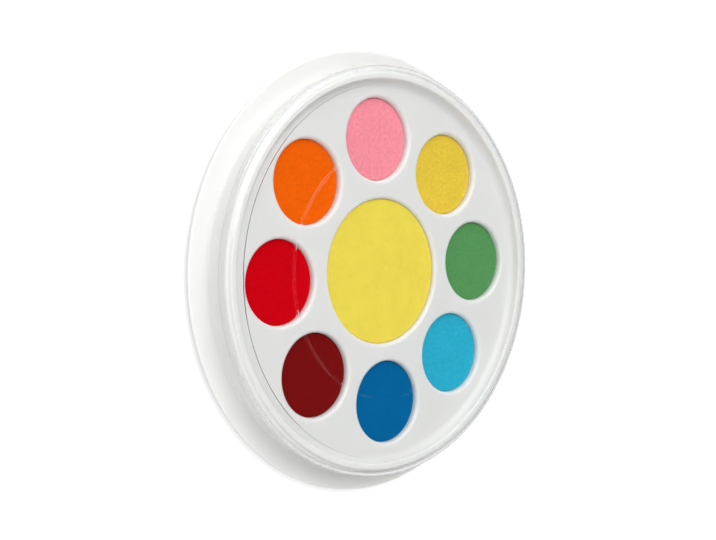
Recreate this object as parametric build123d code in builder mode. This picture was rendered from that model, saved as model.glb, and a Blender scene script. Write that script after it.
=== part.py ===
from build123d import *

import os
from math import cos, radians, sin, tan

# Round finger paint set: a white moulded palette with nine wells, nine pressed
# paint cakes, and a clear lid that lifts off.
# It lies flat as in use. The origin is at the bottom centre, on the table,
# +Z points up through the lid, and all lengths are in millimetres.

# Small cakes in order around the pitch circle, one well for each
outer_cake_names = [
    "paint_green",
    "paint_golden_yellow",
    "paint_pink",
    "paint_orange",
    "paint_red",
    "paint_dark_red",
    "paint_blue",
    "paint_light_blue",
]

# Layout of the wells, seen from above: the pitch circle, the angle of the first
# well, and the face left between a small cake and the centre cake or the rim
pitch_radius = 50.0
first_well_angle = 0.0
web_to_centre = 6.9
web_to_rim = 6.9

# Paint cakes
cake_radius = 15.6
cake_depth = 3.6
centre_cake_rise = 0.6
cake_edge_round = 0.35
cake_clearance = 0.1

# Palette moulding: heights above the table, skin and edges
skin = 1.5
paint_height = 9.7
face_above_paint = 2.2
rim_above_face = 3.7
rim_width = 2.5
rim_round = 0.6
neck_wall = 1.6
well_draft = 3.0
well_mouth_round = 1.1

# Bead around the neck that the lid's skirt slides over
bead_height = 2.8
bead_relief = 1.1
bead_below_rim = 2.4

# Brim around the foot of the neck, dished a little like a saucer, and the foot
# ring under it that the palette stands on
brim_width = 9.0
brim_thickness = 1.4
brim_lift = 1.9
brim_dish = 0.7
foot_width = 2.6
brim_root_round = 1.0

# Clear lid
lid_panel_inset = 2.0
lid_panel_rise = 0.3
lid_panel_edge_round = 0.1
lid_wall = 0.9
lid_skirt_depth = 3.9
lid_side_clearance = 0.6
lid_seat_clearance = 0.3
lid_inner_round = 1.7
lid_edge_round = 0.3
mould_ring_inset = 3.3
mould_ring_width = 0.6
mould_ring_height = 0.25

# Heights and radii worked out from the sizes above
outer_well_count = len(outer_cake_names)
centre_cake_radius = pitch_radius - cake_radius - web_to_centre
rim_inner_radius = pitch_radius + cake_radius + web_to_rim
neck_radius = rim_inner_radius + rim_width
face_height = paint_height + face_above_paint
face_underside = face_height - skin
rim_height = face_height + rim_above_face
bead_middle = rim_height - bead_below_rim
neck_inner_radius = neck_radius - neck_wall
foot_outer_radius = neck_inner_radius + foot_width
brim_radius = neck_radius + brim_width
brim_tip_radius = brim_radius - brim_thickness / 2
brim_tip_top = brim_lift + brim_thickness
brim_tip_middle = brim_lift + brim_thickness / 2
brim_root_top = brim_tip_top - brim_dish
brim_root_bottom = brim_root_top - brim_thickness
well_floor = paint_height - cake_depth
cup_underside = well_floor - skin
centre_paint_height = paint_height + centre_cake_rise
lid_underside = rim_height + lid_seat_clearance
lid_ring_top = lid_underside + lid_wall
lid_panel_top = lid_ring_top + lid_panel_rise
lid_panel_radius = rim_inner_radius - lid_panel_inset
lid_skirt_bottom = rim_height - lid_skirt_depth
lid_inner_radius = neck_radius + bead_relief + lid_side_clearance
lid_outer_radius = lid_inner_radius + lid_wall
mould_ring_radius = pitch_radius - mould_ring_inset


def drafted(radius, surface, height):
    """Radius at a height of a drafted wall that has this radius at its surface."""
    return radius + tan(radians(well_draft)) * (height - surface)


# Well walls stand off the cakes that they hold by the cake clearance
outer_well_radius = cake_radius + cake_clearance
centre_well_radius = centre_cake_radius + cake_clearance


# Palette: one moulding with its face, rim, neck, dished brim and nine cups.
# The section runs out along the face, over the rim, down the neck past its bead,
# out along the brim, and back under it and up inside the hollow underside.
with BuildPart() as palette:
    with BuildSketch(Plane.XZ) as palette_section:
        with BuildLine():
            Polyline(
                (0, face_underside),
                (0, face_height),
                (rim_inner_radius, face_height),
                (rim_inner_radius, rim_height),
                (neck_radius, rim_height),
                (neck_radius, bead_middle + bead_height / 2),
            )
            ThreePointArc(
                (neck_radius, bead_middle + bead_height / 2),
                (neck_radius + bead_relief, bead_middle),
                (neck_radius, bead_middle - bead_height / 2),
            )
            Polyline(
                (neck_radius, bead_middle - bead_height / 2),
                (neck_radius, brim_root_top),
                (brim_tip_radius, brim_tip_top),
            )
            ThreePointArc(
                (brim_tip_radius, brim_tip_top),
                (brim_radius, brim_tip_middle),
                (brim_tip_radius, brim_lift),
            )
            Polyline(
                (brim_tip_radius, brim_lift),
                (foot_outer_radius, brim_root_bottom),
                (foot_outer_radius, 0),
                (neck_inner_radius, 0),
                (neck_inner_radius, face_underside),
                (0, face_underside),
            )
        make_face()
        rim_corners = palette_section.vertices().group_by(Axis.Y)[-1]
        fillet(rim_corners, radius=rim_round)
        brim_root = palette_section.vertices().sort_by_distance(
            (neck_radius, brim_root_top))[0]
        fillet(brim_root, radius=brim_root_round)
    revolve(axis=Axis.Z)

    # Cups hang under the face, a skin's thickness outside each well
    with BuildSketch(Plane.XY.offset(cup_underside)):
        with PolarLocations(pitch_radius, outer_well_count, start_angle=first_well_angle):
            Circle(drafted(outer_well_radius, paint_height, cup_underside) + skin)
        Circle(drafted(centre_well_radius, centre_paint_height, cup_underside) + skin)
    extrude(amount=face_underside - cup_underside, taper=-well_draft)

    # Wells open through the face, with drafted walls and rounded mouths
    with BuildSketch(Plane.XY.offset(well_floor)):
        with PolarLocations(pitch_radius, outer_well_count, start_angle=first_well_angle):
            Circle(drafted(outer_well_radius, paint_height, well_floor))
        Circle(drafted(centre_well_radius, centre_paint_height, well_floor))
    extrude(amount=face_height - well_floor, taper=-well_draft, mode=Mode.SUBTRACT)
    face_edges = palette.edges().filter_by(GeomType.CIRCLE).filter_by_position(
        Axis.Z, face_height, face_height)
    mouths = face_edges.filter_by(lambda edge: edge.radius < pitch_radius)
    fillet(mouths, radius=well_mouth_round)
palette.part.label = "palette"

# Centre cake: the large one, whose surface stands a little higher
with BuildPart() as centre_cake:
    with BuildSketch(Plane.XY.offset(well_floor)):
        Circle(drafted(centre_cake_radius, centre_paint_height, well_floor))
    extrude(amount=centre_paint_height - well_floor, taper=-well_draft)
    fillet(centre_cake.edges().sort_by(Axis.Z)[-1], radius=cake_edge_round)
centre_cake.part.label = "paint_yellow_centre"


def make_outer_cake(index, name):
    """One small cake, standing on the floor of the well with this index."""
    angle = radians(first_well_angle + index * 360.0 / outer_well_count)
    centre = (pitch_radius * cos(angle), pitch_radius * sin(angle))
    with BuildPart() as cake:
        with BuildSketch(Plane.XY.offset(well_floor)):
            with Locations(centre):
                Circle(drafted(cake_radius, paint_height, well_floor))
        extrude(amount=paint_height - well_floor, taper=-well_draft)
        fillet(cake.edges().sort_by(Axis.Z)[-1], radius=cake_edge_round)
    cake.part.label = name
    return cake.part


# Small cakes, one in each outer well
outer_cakes = [
    make_outer_cake(index, name) for index, name in enumerate(outer_cake_names)
]

# Lid: a flat raised panel, a ring around it, and a short skirt that closes around
# the palette's rim. Ring and skirt have one wall, so the corner between them is
# rounded alike inside and out.
with BuildPart() as lid:
    with BuildSketch(Plane.XZ) as lid_section:
        with BuildLine():
            Polyline(
                (0, lid_underside),
                (0, lid_panel_top),
                (lid_panel_radius, lid_panel_top),
                (lid_panel_radius, lid_ring_top),
                (lid_outer_radius, lid_ring_top),
                (lid_outer_radius, lid_skirt_bottom),
                (lid_inner_radius, lid_skirt_bottom),
                (lid_inner_radius, lid_underside),
                (0, lid_underside),
            )
        make_face()
        outer_corner = lid_section.vertices().sort_by_distance(
            (lid_outer_radius, lid_ring_top))[0]
        fillet(outer_corner, radius=lid_inner_round + lid_wall)
        inner_corner = lid_section.vertices().sort_by_distance(
            (lid_inner_radius, lid_underside))[0]
        fillet(inner_corner, radius=lid_inner_round)
        skirt_corners = lid_section.vertices().group_by(Axis.Y)[0]
        fillet(skirt_corners, radius=lid_edge_round)
        panel_edge = lid_section.vertices().sort_by_distance(
            (lid_panel_radius, lid_panel_top))[0]
        fillet(panel_edge, radius=lid_panel_edge_round)
    revolve(axis=Axis.Z)

    # Fine mould ring that stands down from the underside of the panel
    with BuildSketch(Plane.XY.offset(lid_underside)):
        Circle(mould_ring_radius + mould_ring_width / 2)
        Circle(mould_ring_radius - mould_ring_width / 2, mode=Mode.SUBTRACT)
    extrude(amount=-mould_ring_height)
lid.part.label = "lid"

# Write one file for each separate piece
os.makedirs("parts", exist_ok=True)
for piece in [palette.part, centre_cake.part, *outer_cakes, lid.part]:
    export_step(piece, f"parts/{piece.label}.step")

overall_height = lid_panel_top
print(f"diameter {2 * brim_radius:.1f} mm, height {overall_height:.2f} mm")
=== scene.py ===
"""Looks of a round finger paint set: a white moulded palette, pressed paint cakes and a clear lid.

Every length in a dataclass field is in millimetres, as on the maker's drawing, and becomes metres
where a mesh, lamp or camera is made. Angles are in degrees, counted from +X toward +Y. The origin
is on the table under the middle of the palette.
"""

import logging
from dataclasses import dataclass, field
from enum import Enum
from math import atan2, cos, pi, radians, sin, tan

import bmesh
import bpy
from mathutils import Matrix, Vector, noise
from mathutils.geometry import delaunay_2d_cdt


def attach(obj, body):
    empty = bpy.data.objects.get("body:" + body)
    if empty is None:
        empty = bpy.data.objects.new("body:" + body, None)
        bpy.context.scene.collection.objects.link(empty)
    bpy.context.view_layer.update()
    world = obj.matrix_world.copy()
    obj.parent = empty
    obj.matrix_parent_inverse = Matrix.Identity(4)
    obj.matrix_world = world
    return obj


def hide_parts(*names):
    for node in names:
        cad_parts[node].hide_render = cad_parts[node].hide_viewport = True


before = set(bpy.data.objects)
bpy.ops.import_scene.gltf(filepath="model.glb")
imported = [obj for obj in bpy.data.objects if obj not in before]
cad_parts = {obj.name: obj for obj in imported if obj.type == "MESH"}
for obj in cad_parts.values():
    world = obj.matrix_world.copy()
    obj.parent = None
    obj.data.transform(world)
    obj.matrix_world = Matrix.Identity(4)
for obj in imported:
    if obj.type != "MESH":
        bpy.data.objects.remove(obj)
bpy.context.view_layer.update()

LOG = logging.getLogger("finger_paint_set")
MM = 0.001

Point = tuple[float, float]
Triple = tuple[float, float, float]
Rgba = tuple[float, float, float, float]
Ring = list[bmesh.types.BMVert]

MIDDLE: Point = (0.0, 0.0)
# Two points closer than this, in millimetres, are one to the triangulator, and its output
# type 0 fills the whole hull
SAME_POINT = 1e-6
WHOLE_HULL = 0
# Nearly all of a noise texture lies between these two values
NOISE_LOW, NOISE_HIGH = 0.3, 0.7


def linear(hex_code: str) -> Rgba:
    """Turns an sRGB colour into the linear one that shaders work in.

    Args:
        hex_code: Six hexadecimal digits, such as "f0f0ee".

    Returns:
        Red, green and blue in linear light, and an alpha of 1.
    """
    channels = [int(hex_code[i:i + 2], 16) / 255 for i in (0, 2, 4)]
    red, green, blue = [
        c / 12.92 if c <= 0.04045 else ((c + 0.055) / 1.055) ** 2.4 for c in channels
    ]
    return (red, green, blue, 1.0)


def add_node(tree: bpy.types.NodeTree, kind: str,
             inputs: dict[str | int, object] | None = None, **settings: object) -> bpy.types.Node:
    """Adds a node, sets its properties, and sets or links its inputs.

    Args:
        tree: The node tree that takes the node.
        kind: Blender's name for the node type.
        inputs: Input name or index, with a value or with an output socket to link.
        **settings: Properties of the node.

    Returns:
        The new node.
    """
    node = tree.nodes.new(kind)
    for name, value in settings.items():
        setattr(node, name, value)
    for name, value in (inputs or {}).items():
        if isinstance(value, bpy.types.NodeSocket):
            tree.links.new(value, node.inputs[name])
        else:
            node.inputs[name].default_value = value
    return node


def new_material(name: str) -> tuple[bpy.types.Material, bpy.types.NodeTree]:
    """Makes an empty node material.

    Args:
        name: The real material and its surface.

    Returns:
        The material and its node tree.
    """
    material = bpy.data.materials.new(name)
    material.use_nodes = True
    material.node_tree.nodes.clear()
    return material, material.node_tree


def per_metre(size_mm: float) -> float:
    """Texture scale that gives features of this real size."""
    return 1.0 / (size_mm * MM)


def eased(share: float) -> float:
    """Turns an even rise from 0 to 1 into one that starts and ends gently."""
    return share * share * (3 - 2 * share)


# Shapes


@dataclass(frozen=True)
class Corner:
    """One corner of a section: its radius from the axis, its height, and its rounding."""

    radius: float
    height: float
    rounding: float = 0.0


def rounded(corners: list[Corner], chord: float = 0.16, fewest_chords: int = 4) -> list[Point]:
    """Turns the corners of a section into points, with each rounded corner as an arc.

    Args:
        corners: The corners in order. The first and last stay sharp.
        chord: About how long the chords of an arc are, in millimetres.
        fewest_chords: How many chords the smallest arc has.

    Returns:
        Radius and height of each point, in millimetres.
    """
    points: list[Point] = []
    for index, corner in enumerate(corners):
        here = Vector((corner.radius, corner.height))
        if corner.rounding == 0 or index in (0, len(corners) - 1):
            points.append((here.x, here.y))
            continue
        before = Vector((corners[index - 1].radius, corners[index - 1].height)) - here
        after = Vector((corners[index + 1].radius, corners[index + 1].height)) - here
        before.normalize()
        after.normalize()
        half_angle = before.angle(after) / 2
        reach = corner.rounding / tan(half_angle)
        middle = here + (before + after).normalized() * (corner.rounding / sin(half_angle))
        start = here + before * reach - middle
        end = here + after * reach - middle
        start_angle = atan2(start.y, start.x)
        turn = atan2(end.y, end.x) - start_angle
        turn = (turn + pi) % (2 * pi) - pi
        arc_steps = max(fewest_chords, round(corner.rounding * abs(turn) / chord))
        for step in range(arc_steps + 1):
            angle = start_angle + turn * step / arc_steps
            points.append((
                middle.x + corner.rounding * cos(angle),
                middle.y + corner.rounding * sin(angle),
            ))
    return points


class Surface:
    """A mesh under construction, made of level rings that are skinned, filled and capped."""

    def __init__(self) -> None:
        """Starts with no vertices."""
        self.mesh = bmesh.new()

    def ring(self, radius: float, height: float, segments: int,
             centre: Point = MIDDLE) -> Ring:
        """Adds a level circle of vertices.

        Args:
            radius: The circle's radius.
            height: The circle's height.
            segments: How many vertices it has.
            centre: Where its axis stands.

        Returns:
            The vertices in order, from the +X side toward +Y.
        """
        return [
            self.mesh.verts.new((
                (centre[0] + radius * cos(2 * pi * step / segments)) * MM,
                (centre[1] + radius * sin(2 * pi * step / segments)) * MM,
                height * MM,
            ))
            for step in range(segments)
        ]

    def skin(self, first: Ring, second: Ring) -> None:
        """Joins two rings with a band of faces.

        Args:
            first: One ring.
            second: Another, with as many vertices.
        """
        count = len(first)
        for step in range(count):
            after = (step + 1) % count
            self.mesh.faces.new((first[step], first[after], second[after], second[step]))

    def lathe(self, points: list[Point], segments: int, centre: Point = MIDDLE,
              start: Ring | None = None) -> Ring:
        """Skins a section around an upright axis.

        Args:
            points: Radius and height of each ring.
            segments: Vertices in a ring.
            centre: Where the axis stands.
            start: A ring that is already there and stands for the first point.

        Returns:
            The last ring, which another surface can go on from.
        """
        last = start or self.ring(*points[0], segments, centre)
        for radius, height in points[1:]:
            following = self.ring(radius, height, segments, centre)
            self.skin(last, following)
            last = following
        return last

    def cap(self, edge: Ring, height: float, centre: Point = MIDDLE) -> None:
        """Closes a ring with triangles that meet at its centre.

        Args:
            edge: The ring.
            height: Height of the point where they meet.
            centre: Where the ring's axis stands.
        """
        middle = self.mesh.verts.new((centre[0] * MM, centre[1] * MM, height * MM))
        for step, vertex in enumerate(edge):
            self.mesh.faces.new((vertex, edge[(step + 1) % len(edge)], middle))

    def fill(self, outline: Ring, holes: list[Ring]) -> None:
        """Fills the level space between an outline and the holes in it.

        Args:
            outline: The outer ring.
            holes: The rings that stay open.
        """
        loops = [outline, *holes]
        vertices = [vertex for loop in loops for vertex in loop]
        owners = [number for number, loop in enumerate(loops) for _ in loop]
        edges: list[tuple[int, int]] = []
        base = 0
        for loop in loops:
            edges += [(base + i, base + (i + 1) % len(loop)) for i in range(len(loop))]
            base += len(loop)
        flat = [Vector((vertex.co.x, vertex.co.y)) / MM for vertex in vertices]
        _, _, triangles, sources_of, _, _ = delaunay_2d_cdt(
            flat, edges, [], WHOLE_HULL, SAME_POINT)
        for triangle in triangles:
            sources = [sources_of[corner][0] for corner in triangle]
            touched = {owners[source] for source in sources}
            # A triangle with all its corners on one hole lies inside that hole
            if len(touched) > 1 or touched == {0}:
                self.mesh.faces.new([vertices[source] for source in sources])

    def finish(self, name: str) -> bpy.types.Object:
        """Makes the object, smooth shaded, with flat faces ruling the normals beside them.

        Args:
            name: The name of the piece.

        Returns:
            The object, linked to the scene.
        """
        bmesh.ops.recalc_face_normals(self.mesh, faces=self.mesh.faces[:])
        data = bpy.data.meshes.new(name)
        self.mesh.to_mesh(data)
        self.mesh.free()
        data.shade_smooth()
        piece = bpy.data.objects.new(name, data)
        bpy.context.scene.collection.objects.link(piece)
        weighted = piece.modifiers.new("flat_faces_rule", "WEIGHTED_NORMAL")
        weighted.keep_sharp = True
        return piece


# Finishes


@dataclass(frozen=True)
class MouldedPolypropylene:
    """White polypropylene from a satin tool: soft, broad highlights and a faint grain."""

    name: str = "white_polypropylene_satin_moulded"
    colour: str = "e8e8e6"
    shade: str = "e3e3e1"
    roughness: float = 0.42
    roughness_spread: float = 0.05
    ior: float = 1.49
    scatter_depth: float = 2.5
    scatter_share: float = 0.8
    scatter_rgb: Triple = (1.0, 0.95, 0.9)
    grain_size: float = 0.5
    grain_height: float = 0.012
    flow_size: float = 22.0

    def build(self) -> bpy.types.Material:
        """Builds the node material.

        Returns:
            The material.
        """
        material, tree = new_material(self.name)
        place = add_node(tree, "ShaderNodeTexCoord").outputs["Object"]
        # Slow flow marks from the gate shift the white by a shade
        flow = add_node(tree, "ShaderNodeTexNoise", {
            "Vector": place, "Scale": per_metre(self.flow_size), "Detail": 2.0})
        colour = add_node(tree, "ShaderNodeMix", {
            0: flow.outputs["Fac"], 6: linear(self.colour), 7: linear(self.shade)},
            data_type="RGBA")
        # The blasted tool leaves a fine grain, drawn coarser than real so that it shows at all
        grain = add_node(tree, "ShaderNodeTexNoise", {
            "Vector": place, "Scale": per_metre(self.grain_size), "Detail": 3.0})
        rough = add_node(tree, "ShaderNodeMapRange", {
            "Value": grain.outputs["Fac"], "To Min": self.roughness - self.roughness_spread,
            "To Max": self.roughness + self.roughness_spread})
        bump = add_node(tree, "ShaderNodeBump", {
            "Height": grain.outputs["Fac"], "Distance": self.grain_height * MM,
            "Strength": 1.0})
        # Light sinks a little way into the white plastic and softens the edges of its shadows
        skin = add_node(tree, "ShaderNodeBsdfPrincipled", {
            "Base Color": colour.outputs[2], "Roughness": rough.outputs[0],
            "Normal": bump.outputs[0], "IOR": self.ior,
            "Subsurface Weight": self.scatter_share,
            "Subsurface Radius": self.scatter_rgb,
            "Subsurface Scale": self.scatter_depth * MM})
        add_node(tree, "ShaderNodeOutputMaterial", {"Surface": skin.outputs[0]})
        return material


@dataclass(frozen=True)
class PolishedPolystyrene:
    """Clear polystyrene from a polished tool: sharp reflections and edges that catch the light."""

    name: str = "clear_polystyrene_polished"
    colour: str = "feffff"
    roughness: float = 0.015
    ior: float = 1.57
    ripple_size: float = 9.0
    ripple_height: float = 0.004

    def build(self) -> bpy.types.Material:
        """Builds the node material.

        Returns:
            The material.
        """
        material, tree = new_material(self.name)
        place = add_node(tree, "ShaderNodeTexCoord").outputs["Object"]
        # A moulded sheet is never quite flat, and a slow ripple bends its reflections a little
        ripple = add_node(tree, "ShaderNodeTexNoise", {
            "Vector": place, "Scale": per_metre(self.ripple_size), "Detail": 1.0})
        bump = add_node(tree, "ShaderNodeBump", {
            "Height": ripple.outputs["Fac"], "Distance": self.ripple_height * MM,
            "Strength": 1.0})
        clear = add_node(tree, "ShaderNodeBsdfPrincipled", {
            "Base Color": linear(self.colour), "Roughness": self.roughness,
            "IOR": self.ior, "Transmission Weight": 1.0, "Normal": bump.outputs[0]})
        # Light on its way to the paint passes straight through, less what glances off a steep
        # outer surface, so the skirt and corner throw a soft shadow and the flat panel none
        glance = add_node(tree, "ShaderNodeFresnel", {"IOR": self.ior})
        steep = add_node(tree, "ShaderNodeMapRange", {
            "Value": glance.outputs[0],
            "From Min": ((self.ior - 1.0) / (self.ior + 1.0)) ** 2})
        side = add_node(tree, "ShaderNodeNewGeometry")
        front = add_node(tree, "ShaderNodeMath", {
            0: 1.0, 1: side.outputs["Backfacing"]}, operation="SUBTRACT")
        lost = add_node(tree, "ShaderNodeMath", {
            0: steep.outputs[0], 1: front.outputs[0]}, operation="MULTIPLY")
        passed = add_node(tree, "ShaderNodeMix", {
            0: lost.outputs[0], 6: linear("ffffff"), 7: linear("000000")},
            data_type="RGBA")
        open_to_lamps = add_node(tree, "ShaderNodeBsdfTransparent", {
            "Color": passed.outputs[2]})
        path = add_node(tree, "ShaderNodeLightPath")
        lighting = add_node(tree, "ShaderNodeMath", {
            0: path.outputs["Is Shadow Ray"], 1: path.outputs["Is Diffuse Ray"]},
            operation="MAXIMUM")
        both = add_node(tree, "ShaderNodeMixShader", {
            0: lighting.outputs[0], 1: clear.outputs[0], 2: open_to_lamps.outputs[0]})
        add_node(tree, "ShaderNodeOutputMaterial", {"Surface": both.outputs[0]})
        return material


@dataclass(frozen=True)
class PressedPaint:
    """Water-based paint pressed into a cake and dried: dead matt, finely mottled and grainy."""

    name: str
    colour: str
    mottle_size: float = 1.2
    mottle_depth: float = 0.1
    blotch_size: float = 7.0
    blotch_depth: float = 0.025
    grain_size: float = 0.5
    grain_height: float = 0.07
    roughness: float = 0.95
    gloss: float = 0.04

    def build(self) -> bpy.types.Material:
        """Builds the node material.

        Returns:
            The material.
        """
        material, tree = new_material(f"pressed_paint_{self.name}")
        place = add_node(tree, "ShaderNodeTexCoord").outputs["Object"]
        # Pigment settles unevenly in the press, in flecks about a millimetre across
        mottle = add_node(tree, "ShaderNodeTexNoise", {
            "Vector": place, "Scale": per_metre(self.mottle_size), "Detail": 4.0,
            "Roughness": 0.6})
        value = add_node(tree, "ShaderNodeMapRange", {
            "Value": mottle.outputs["Fac"], "From Min": NOISE_LOW, "From Max": NOISE_HIGH,
            "To Min": 1.0 - self.mottle_depth, "To Max": 1.0 + self.mottle_depth})
        # Water dries out of the cake unevenly, and leaves slow pale and deep patches
        blotch = add_node(tree, "ShaderNodeTexNoise", {
            "Vector": place, "Scale": per_metre(self.blotch_size), "Detail": 1.0})
        patch = add_node(tree, "ShaderNodeMapRange", {
            "Value": blotch.outputs["Fac"], "From Min": NOISE_LOW, "From Max": NOISE_HIGH,
            "To Min": 1.0 - self.blotch_depth, "To Max": 1.0 + self.blotch_depth})
        shade = add_node(tree, "ShaderNodeMath", {
            0: value.outputs[0], 1: patch.outputs[0]}, operation="MULTIPLY")
        colour = add_node(tree, "ShaderNodeHueSaturation", {
            "Color": linear(self.colour), "Value": shade.outputs[0]})
        # The press cloth leaves a grain half a millimetre across
        grain = add_node(tree, "ShaderNodeTexNoise", {
            "Vector": place, "Scale": per_metre(self.grain_size), "Detail": 5.0,
            "Roughness": 0.7})
        bump = add_node(tree, "ShaderNodeBump", {
            "Height": grain.outputs["Fac"], "Distance": self.grain_height * MM,
            "Strength": 1.0})
        dry = add_node(tree, "ShaderNodeBsdfPrincipled", {
            "Base Color": colour.outputs[0], "Roughness": self.roughness,
            "Specular IOR Level": self.gloss, "Normal": bump.outputs[0]})
        add_node(tree, "ShaderNodeOutputMaterial", {"Surface": dry.outputs[0]})
        return material


@dataclass(frozen=True)
class StudioPaper:
    """Matt white studio paper that photographs as a clear white but keeps the contact shadow."""

    name: str = "studio_paper_white"
    colour: str = "b8b8b8"
    lift: float = 0.62
    lift_in_lid: float = 0.3

    def build(self) -> bpy.types.Material:
        """Builds the node material.

        Returns:
            The material.
        """
        material, tree = new_material(self.name)
        path = add_node(tree, "ShaderNodeLightPath")
        in_lid = add_node(tree, "ShaderNodeMath", {
            0: path.outputs["Is Glossy Ray"], 1: path.outputs["Is Transmission Ray"]},
            operation="MAXIMUM")
        # The paper shows in the lid's edges too, a shade greyer, so that they stand out against it
        lid_lift = add_node(tree, "ShaderNodeMath", {
            0: in_lid.outputs[0], 1: self.lift_in_lid}, operation="MULTIPLY")
        strength = add_node(tree, "ShaderNodeMath", {
            0: path.outputs["Is Camera Ray"], 1: self.lift, 2: lid_lift.outputs[0]},
            operation="MULTIPLY_ADD")
        paper = add_node(tree, "ShaderNodeBsdfDiffuse", {"Color": linear(self.colour)})
        glow = add_node(tree, "ShaderNodeEmission", {"Strength": strength.outputs[0]})
        both = add_node(tree, "ShaderNodeAddShader", {
            0: paper.outputs[0], 1: glow.outputs[0]})
        add_node(tree, "ShaderNodeOutputMaterial", {"Surface": both.outputs[0]})
        return material


# Pieces


class PaintColour(Enum):
    """The outer cakes in order round the pitch circle, from the well on +X, with their colours."""

    GREEN = "569459"
    GOLDEN_YELLOW = "e5c543"
    PINK = "f6919f"
    ORANGE = "f06107"
    RED = "cb0011"
    DARK_RED = "760f10"
    BLUE = "03639b"
    LIGHT_BLUE = "2daccb"


CENTRE_YELLOW = "edd853"


@dataclass
class Wells:
    """The nine wells: where they stand, and how the cakes fit them."""

    outer_count: int = len(PaintColour)
    pitch_radius: float = 50.0
    cake_radius: float = 15.6
    centre_cake_radius: float = 27.5
    clearance: float = 0.03
    draft: float = 3.0
    mouth_round: float = 1.5
    floor_round: float = 0.3
    cup_round: float = 0.8
    paint_height: float = 9.7
    centre_rise: float = 0.6
    cake_depth: float = 3.6
    segments: int = 128
    centre_segments: int = 224

    @property
    def floor(self) -> float:
        """Height of the well floors, which the cakes stand on."""
        return self.paint_height - self.cake_depth

    @property
    def slope(self) -> float:
        """Growth of a wall's radius for each millimetre of height."""
        return tan(radians(self.draft))

    def centre(self, index: int) -> Point:
        """Centre of an outer well, counted from +X."""
        angle = radians(360.0 / self.outer_count * index)
        return (self.pitch_radius * cos(angle), self.pitch_radius * sin(angle))

    def wall_radius(self, cake_radius: float, surface: float, height: float) -> float:
        """Radius at a height of the drafted wall around a cake with this surface."""
        return cake_radius + self.clearance + self.slope * (height - surface)


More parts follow.
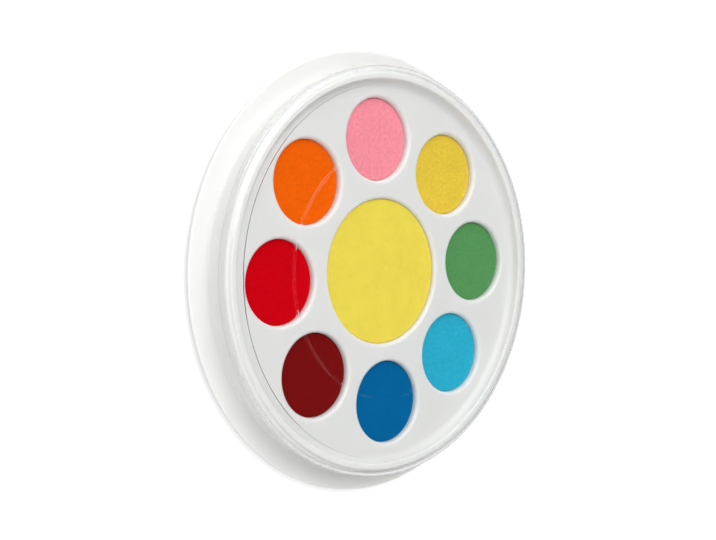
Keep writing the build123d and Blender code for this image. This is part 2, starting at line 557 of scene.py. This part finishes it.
@dataclass
class Palette:
    """The white moulding: face with nine wells, rim, beaded neck, dished brim and foot ring."""

    wells: Wells
    finish: MouldedPolypropylene = field(default_factory=MouldedPolypropylene)
    skin: float = 1.5
    face_above_paint: float = 2.2
    rim_above_face: float = 3.7
    rim_width: float = 2.5
    rim_round: float = 0.6
    rim_foot_round: float = 3.0
    neck_radius: float = 75.0
    neck_wall: float = 1.6
    bead_height: float = 2.8
    bead_relief: float = 1.1
    bead_below_rim: float = 2.4
    bead_round: float = 1.0
    bead_root_round: float = 0.4
    brim_radius: float = 84.0
    brim_thickness: float = 1.4
    brim_lift: float = 1.9
    brim_dish: float = 0.7
    brim_root_round: float = 1.0
    lip_share: float = 0.98
    foot_width: float = 2.6
    foot_round: float = 0.2
    foot_root_round: float = 0.3
    segments: int = 360

    @property
    def face(self) -> float:
        """Height of the palette's face."""
        return self.wells.paint_height + self.face_above_paint

    @property
    def rim(self) -> float:
        """Height of the top of the rim."""
        return self.face + self.rim_above_face

    @property
    def underside(self) -> float:
        """Height of the underside of the face."""
        return self.face - self.skin

    def build(self) -> bpy.types.Object:
        """Builds the moulding as one closed mesh.

        Returns:
            The palette, dressed and riding on its body.
        """
        surface = Surface()
        shell = self._shell()
        start = surface.ring(*shell[0], self.segments)
        end = surface.lathe(shell, self.segments, start=start)
        wells = [self._well(surface, index) for index in range(self.wells.outer_count + 1)]
        surface.fill(start, [mouth for mouth, _ in wells])
        surface.fill(end, [cup for _, cup in wells])
        piece = surface.finish("palette_moulding")
        piece.data.materials.append(self.finish.build())
        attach(piece, "palette")
        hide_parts("palette")
        return piece

    def _shell(self) -> list[Point]:
        """Draws the section from the face over the rim, down the neck and around brim and foot.

        Returns:
            Its points, from the start of the rim's inner foot to the underside of the face.
        """
        rim_inner = self.neck_radius - self.rim_width
        neck_inner = self.neck_radius - self.neck_wall
        foot = neck_inner + self.foot_width
        bead = self.rim - self.bead_below_rim
        half_bead = self.bead_height / 2
        tip = self.brim_lift + self.brim_thickness
        root = tip - self.brim_dish
        # Just under half the thickness, so that the lip's two roundings don't meet in one point
        lip_round = self.brim_thickness / 2 * self.lip_share
        return rounded([
            Corner(rim_inner - 2 * self.rim_foot_round, self.face),
            Corner(rim_inner, self.face, self.rim_foot_round),
            Corner(rim_inner, self.rim, self.rim_round),
            Corner(self.neck_radius, self.rim, self.rim_round),
            Corner(self.neck_radius, bead + half_bead, self.bead_root_round),
            Corner(self.neck_radius + self.bead_relief, bead, self.bead_round),
            Corner(self.neck_radius, bead - half_bead, self.bead_root_round),
            Corner(self.neck_radius, root, self.brim_root_round),
            Corner(self.brim_radius, tip, lip_round),
            Corner(self.brim_radius, self.brim_lift, lip_round),
            Corner(foot, root - self.brim_thickness, self.foot_root_round),
            Corner(foot, 0.0, self.foot_round),
            Corner(neck_inner, 0.0, self.foot_round),
            Corner(neck_inner, self.underside),
        ])[1:]

    def _well(self, surface: Surface, index: int) -> tuple[Ring, Ring]:
        """Adds one well and the cup under it.

        Args:
            surface: The moulding under construction.
            index: The well, counted from +X around the circle, with the centre well last.

        Returns:
            The ring where the mouth meets the face, and the one where the cup meets the underside.
        """
        wells = self.wells
        is_centre = index == wells.outer_count
        cake = wells.centre_cake_radius if is_centre else wells.cake_radius
        top = wells.paint_height + (wells.centre_rise if is_centre else 0.0)
        place = MIDDLE if is_centre else wells.centre(index)
        count = wells.centre_segments if is_centre else wells.segments
        mouth_radius = wells.wall_radius(cake, top, self.face)
        floor_radius = wells.wall_radius(cake, top, wells.floor)
        inside = rounded([
            Corner(mouth_radius + 2 * wells.mouth_round, self.face),
            Corner(mouth_radius, self.face, wells.mouth_round),
            Corner(floor_radius, wells.floor, wells.floor_round),
            Corner(0.0, wells.floor),
        ])[1:-1]
        mouth = surface.ring(*inside[0], count, place)
        surface.cap(surface.lathe(inside, count, place, start=mouth), wells.floor, place)
        under = self.underside
        bottom = wells.floor - self.skin
        outside = rounded([
            Corner(wells.wall_radius(cake, top, under) + self.skin, under),
            Corner(wells.wall_radius(cake, top, bottom) + self.skin, bottom, wells.cup_round),
            Corner(0.0, bottom),
        ])[:-1]
        cup = surface.ring(*outside[0], count, place)
        surface.cap(surface.lathe(outside, count, place, start=cup), bottom, place)
        return mouth, cup


@dataclass
class PaintCake:
    """One cake of pressed paint, as a drafted puck with a pressed top."""

    node: str
    finish: PressedPaint
    place: Point
    radius: float
    top: float
    depth: float
    slope: float
    segments: int
    edge_round: float = 0.45
    dish: float = 0.12
    dish_power: int = 6
    relief: float = 0.05
    relief_power: int = 8
    relief_size: float = 2.4
    rings: int = 26

    def build(self) -> bpy.types.Object:
        """Builds the cake.

        Returns:
            The cake, dressed and riding on the palette.
        """
        surface = Surface()
        foot = self.radius - self.slope * self.depth
        side = rounded([
            Corner(foot, self.top - self.depth),
            Corner(self.radius, self.top, self.edge_round),
            Corner(self.radius - 2 * self.edge_round, self.top),
        ])[:-1]
        base = surface.ring(*side[0], self.segments, self.place)
        surface.cap(base, self.top - self.depth, self.place)
        last = surface.lathe(side, self.segments, self.place, start=base)
        flat_radius = side[-1][0]
        for step in range(1, self.rings):
            share = 1.0 - step / self.rings
            ring = surface.ring(flat_radius * share, self.top, self.segments, self.place)
            for vertex in ring:
                vertex.co.z += self._pressed(vertex.co, share) * MM
            surface.skin(last, ring)
            last = ring
        surface.cap(last, self.top - self.dish, self.place)
        piece = surface.finish(f"{self.node}_cake")
        piece.data.materials.append(self.finish.build())
        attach(piece, "palette")
        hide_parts(self.node)
        return piece

    def _pressed(self, point: Vector, share: float) -> float:
        """Height of the pressed top against the flat: slightly dished, with a low relief.

        Args:
            point: Where the vertex is, in metres.
            share: Its distance from the middle as a share of the flat top's radius.

        Returns:
            The height in millimetres, never above the edge.
        """
        # High powers keep the middle nearly level and bring the edge back to the flat
        dish = -self.dish * (1.0 - share ** self.dish_power)
        spread = 1.0 - share ** self.relief_power
        return dish + self.relief * spread * noise.noise(point / (self.relief_size * MM))


@dataclass(frozen=True)
class Ridge:
    """One fine line of the mould ring: its radius, its depth, and its two roundings."""

    radius: float
    depth: float
    foot_round: float
    top_round: float


@dataclass
class Lid:
    """The clear lid: raised panel, lower ring with a round corner, skirt, and a fine mould ring."""

    seat: float
    bead_radius: float
    finish: PolishedPolystyrene = field(default_factory=PolishedPolystyrene)
    hub_radius: float = 4.0
    panel_radius: float = 70.5
    panel_rise: float = 0.3
    panel_edge_round: float = 0.08
    wall: float = 0.9
    skirt_depth: float = 3.9
    side_clearance: float = 0.6
    seat_clearance: float = 0.3
    inner_round: float = 1.7
    edge_round: float = 0.44
    mould_ring: tuple[Ridge, ...] = (
        Ridge(radius=47.95, depth=0.06, foot_round=0.3, top_round=0.1),
        Ridge(radius=47.0, depth=0.1, foot_round=0.2, top_round=0.15),
    )
    mould_ring_rise: float = 0.2
    mould_ring_fall: float = 0.55
    mould_ring_toward: float = 195.0
    mould_ring_fade: Point = (65.0, 100.0)
    mould_ring_faintest: float = 0.2
    tolerance: float = 0.01
    segments: int = 720

    def build(self) -> bpy.types.Object:
        """Builds the lid as one closed clear mesh.

        Returns:
            The lid, dressed and riding on its own body.
        """
        surface = Surface()
        under = self.seat + self.seat_clearance
        ring_top = under + self.wall
        panel = ring_top + self.panel_rise
        bottom = self.seat - self.skirt_depth
        inner = self.bead_radius + self.side_clearance
        outer = inner + self.wall
        section = rounded([
            Corner(self.hub_radius, panel),
            Corner(self.panel_radius, panel, self.panel_edge_round),
            Corner(self.panel_radius, ring_top, self.panel_edge_round),
            Corner(outer, ring_top, self.inner_round + self.wall),
            Corner(outer, bottom, self.edge_round),
            Corner(inner, bottom, self.edge_round),
            Corner(inner, under, self.inner_round),
            *self._ridge_corners(under),
            Corner(self.hub_radius, under),
        ])
        start = surface.ring(*section[0], self.segments)
        end = surface.lathe(section, self.segments, start=start)
        surface.cap(start, panel)
        surface.cap(end, under)
        self._fade_mould_ring(surface, under)
        piece = surface.finish("lid_clear")
        piece.data.materials.append(self.finish.build())
        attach(piece, "lid")
        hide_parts("lid")
        return piece

    def _ridge_corners(self, under: float) -> list[Corner]:
        """Draws the mould ring's lines: a steep inner side each, and a long outer side.

        Args:
            under: Height of the underside around the ring.

        Returns:
            The corners, from the outside in.
        """
        corners: list[Corner] = []
        for line in self.mould_ring:
            corners += [
                Corner(line.radius + self.mould_ring_fall, under, line.foot_round),
                Corner(line.radius, under - line.depth, line.top_round),
                Corner(line.radius - self.mould_ring_rise, under, line.top_round),
            ]
        return corners

    def _fade_mould_ring(self, surface: Surface, under: float) -> None:
        """Lowers the mould ring on its far side, where the tool's insert left a fainter mark.

        Args:
            surface: The lid under construction.
            under: Height of the underside around the ring.
        """
        full, gone = [radians(angle) for angle in self.mould_ring_fade]
        turn = radians(self.mould_ring_toward)
        deepest = under - max(line.depth for line in self.mould_ring) - self.tolerance
        for vertex in surface.mesh.verts:
            radius = vertex.co.xy.length / MM
            height = vertex.co.z / MM
            if radius < self.panel_radius and deepest < height < under:
                away = atan2(vertex.co.y, vertex.co.x) - turn
                away = abs((away + pi) % (2 * pi) - pi)
                kept = eased(min(max((gone - away) / (gone - full), 0.0), 1.0))
                kept = self.mould_ring_faintest + (1 - self.mould_ring_faintest) * kept
                vertex.co.z = (under - (under - height) * kept) * MM


# Studio


@dataclass(frozen=True)
class Softbox:
    """A square lamp that points at the set from a direction, at a distance."""

    name: str
    direction: Triple
    distance: float
    side: float
    brightness: float

    def build(self) -> bpy.types.Object:
        """Hangs the lamp.

        Returns:
            The lamp, whose power follows from its brightness and area.
        """
        data = bpy.data.lights.new(self.name, "AREA")
        data.shape = "SQUARE"
        data.size = self.side * MM
        # A flat lamp sends out pi times its brightness from each unit of its area
        data.energy = self.brightness * pi * (self.side * MM) ** 2
        lamp = bpy.data.objects.new(self.name, data)
        toward = Vector(self.direction).normalized()
        lamp.location = toward * self.distance * MM
        lamp.rotation_mode = "QUATERNION"
        lamp.rotation_quaternion = toward.to_track_quat("Z", "Y")
        bpy.context.scene.collection.objects.link(lamp)
        return lamp


@dataclass
class Studio:
    """White paper on the table, one softbox, and a bright even room with one black flag."""

    paper: StudioPaper = field(default_factory=StudioPaper)
    paper_side: float = 6000.0
    room_colour: str = "ffffff"
    room_strength: float = 1.0
    flag_direction: Triple = (0.677, -0.083, 0.731)
    flag_reach: Point = (28.0, 48.0)
    lamps: tuple[Softbox, ...] = (
        Softbox(name="key_softbox", direction=(-0.05, 0.55, 0.83), distance=1600.0,
                side=1300.0, brightness=3.15),
    )

    def build(self) -> None:
        """Lays the paper, hangs the lamps and lights the room."""
        self._lay_paper()
        for lamp in self.lamps:
            lamp.build()
        self._light_room()

    def _lay_paper(self) -> None:
        """Lays the paper under the set, as part of the stage."""
        half = self.paper_side / 2 * MM
        data = bpy.data.meshes.new("studio_floor")
        data.from_pydata([(-half, -half, 0), (half, -half, 0), (half, half, 0), (-half, half, 0)],
                         [], [(0, 1, 2, 3)])
        floor = bpy.data.objects.new("studio_floor", data)
        floor.data.materials.append(self.paper.build())
        bpy.context.scene.collection.objects.link(floor)

    def _light_room(self) -> None:
        """Lights the room evenly, apart from the flag."""
        world = bpy.data.worlds.new("studio_room")
        world.use_nodes = True
        tree = world.node_tree
        tree.nodes.clear()
        # A black flag stands where the lid would mirror the room, so the paints keep their depth
        sight = add_node(tree, "ShaderNodeTexCoord").outputs["Generated"]
        along = add_node(tree, "ShaderNodeVectorMath", {
            0: sight, 1: Vector(self.flag_direction).normalized()}, operation="DOT_PRODUCT")
        inner, outer = self.flag_reach
        lit = add_node(tree, "ShaderNodeMapRange", {
            "Value": along.outputs["Value"], "From Min": cos(radians(inner)),
            "From Max": cos(radians(outer)), "To Min": 0.0,
            "To Max": self.room_strength}, interpolation_type="SMOOTHSTEP")
        glow = add_node(tree, "ShaderNodeBackground", {
            "Color": linear(self.room_colour), "Strength": lit.outputs[0]})
        add_node(tree, "ShaderNodeOutputWorld", {"Surface": glow.outputs[0]})
        bpy.context.scene.world = world


@dataclass
class PhotoCamera:
    """The camera at the photograph's viewing angle, worked out from the nine round wells."""

    place: Triple = (-383.9, 45.4, 423.6)
    aim: Triple = (-11.31, 1.35, 10.6)
    roll: float = -2.15
    focal_length: float = 74.8
    sensor: float = 36.0
    nearest: float = 10.0
    farthest: float = 20000.0

    def build(self) -> bpy.types.Object:
        """Sets up the camera, with +Y of the set upward in the picture.

        Returns:
            The camera, made the scene's own.
        """
        data = bpy.data.cameras.new("photo_camera")
        data.lens = self.focal_length
        data.sensor_width = self.sensor
        data.clip_start = self.nearest * MM
        data.clip_end = self.farthest * MM
        camera = bpy.data.objects.new("photo_camera", data)
        back = (Vector(self.place) - Vector(self.aim)).normalized()
        right = Vector((0.0, 1.0, 0.0)).cross(back).normalized()
        up = back.cross(right)
        turn = Matrix((right, up, back)).transposed().to_4x4()
        turn = turn @ Matrix.Rotation(radians(self.roll), 4, "Z")
        camera.matrix_world = Matrix.Translation(Vector(self.place) * MM) @ turn
        bpy.context.scene.collection.objects.link(camera)
        bpy.context.scene.camera = camera
        return camera


def build_cakes(wells: Wells) -> list[bpy.types.Object]:
    """Builds the eight outer cakes and the centre cake.

    Args:
        wells: The wells that hold them.

    Returns:
        The nine cakes.
    """
    cakes = []
    for index, colour in enumerate(PaintColour):
        name = colour.name.lower()
        cake = PaintCake(
            node=f"paint_{name}",
            finish=PressedPaint(name, colour.value),
            place=wells.centre(index),
            radius=wells.cake_radius,
            top=wells.paint_height,
            depth=wells.cake_depth,
            slope=wells.slope,
            segments=wells.segments,
        )
        cakes.append(cake.build())
    centre = PaintCake(
        node="paint_yellow_centre",
        finish=PressedPaint("yellow_centre", CENTRE_YELLOW, mottle_depth=0.04),
        place=MIDDLE,
        radius=wells.centre_cake_radius,
        top=wells.paint_height + wells.centre_rise,
        depth=wells.cake_depth + wells.centre_rise,
        slope=wells.slope,
        segments=wells.centre_segments,
        rings=44,
    )
    cakes.append(centre.build())
    return cakes


def main() -> None:
    """Builds the set piece by piece, then the studio and the camera."""
    logging.basicConfig(level=logging.INFO, format="%(name)s: %(message)s")
    bpy.context.scene.view_settings.view_transform = "Standard"
    wells = Wells()
    palette = Palette(wells)
    pieces = [palette.build()]
    pieces += build_cakes(wells)
    bead_radius = palette.neck_radius + palette.bead_relief
    pieces.append(Lid(seat=palette.rim, bead_radius=bead_radius).build())
    for piece in pieces:
        LOG.info("%s: %d faces", piece.name, len(piece.data.polygons))
    Studio().build()
    PhotoCamera().build()


if __name__ == "__main__":
    main()
